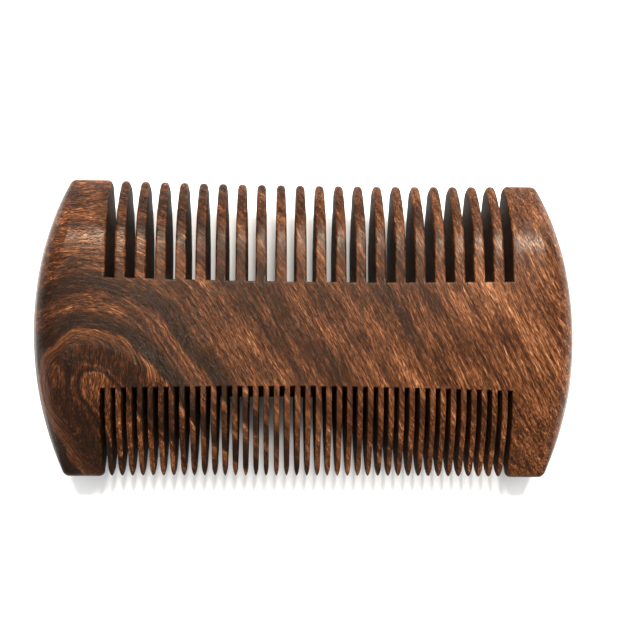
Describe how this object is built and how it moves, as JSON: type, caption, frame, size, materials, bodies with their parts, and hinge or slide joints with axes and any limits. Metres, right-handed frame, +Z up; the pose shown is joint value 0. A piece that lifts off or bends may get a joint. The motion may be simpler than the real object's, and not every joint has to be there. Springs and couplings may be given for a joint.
{
  "type": "beard comb",
  "caption": "Flat double-sided wooden beard comb: barrel-shaped body with a row of wide teeth on one side and a row of fine teeth on the other.",
  "frame": {"origin": "centre of the underside, under the middle of the comb's 100 x 56 mm outline", "axes": "+X along the comb's length, +Y towards the wide teeth, +Z up out of the upper face"},
  "size_m": [0.1, 0.056, 0.01],
  "materials": {
    "wood": "satin oiled dark hardwood with black and red-brown figure"
  },
  "bodies": {
    "root": {"comb_body": "wood", "fine_tooth_01": "wood", "fine_tooth_02": "wood", "fine_tooth_03": "wood", "fine_tooth_04": "wood", "fine_tooth_05": "wood", "fine_tooth_06": "wood", "fine_tooth_07": "wood", "fine_tooth_08": "wood", "fine_tooth_09": "wood", "fine_tooth_10": "wood", "fine_tooth_11": "wood", "fine_tooth_12": "wood", "fine_tooth_13": "wood", "fine_tooth_14": "wood", "fine_tooth_15": "wood", "fine_tooth_16": "wood", "fine_tooth_17": "wood", "fine_tooth_18": "wood", "fine_tooth_19": "wood", "fine_tooth_20": "wood", "fine_tooth_21": "wood", "fine_tooth_22": "wood", "fine_tooth_23": "wood", "fine_tooth_24": "wood", "fine_tooth_25": "wood", "fine_tooth_26": "wood", "fine_tooth_27": "wood", "fine_tooth_28": "wood", "fine_tooth_29": "wood", "fine_tooth_30": "wood", "fine_tooth_31": "wood", "fine_tooth_32": "wood", "fine_tooth_33": "wood", "fine_tooth_34": "wood", "fine_tooth_35": "wood", "fine_tooth_36": "wood", "fine_tooth_37": "wood", "fine_tooth_38": "wood", "fine_tooth_39": "wood", "wide_tooth_01": "wood", "wide_tooth_02": "wood", "wide_tooth_03": "wood", "wide_tooth_04": "wood", "wide_tooth_05": "wood", "wide_tooth_06": "wood", "wide_tooth_07": "wood", "wide_tooth_08": "wood", "wide_tooth_09": "wood", "wide_tooth_10": "wood", "wide_tooth_11": "wood", "wide_tooth_12": "wood", "wide_tooth_13": "wood", "wide_tooth_14": "wood", "wide_tooth_15": "wood", "wide_tooth_16": "wood", "wide_tooth_17": "wood", "wide_tooth_18": "wood", "wide_tooth_19": "wood", "wide_tooth_20": "wood"}
  },
  "joints": []
}
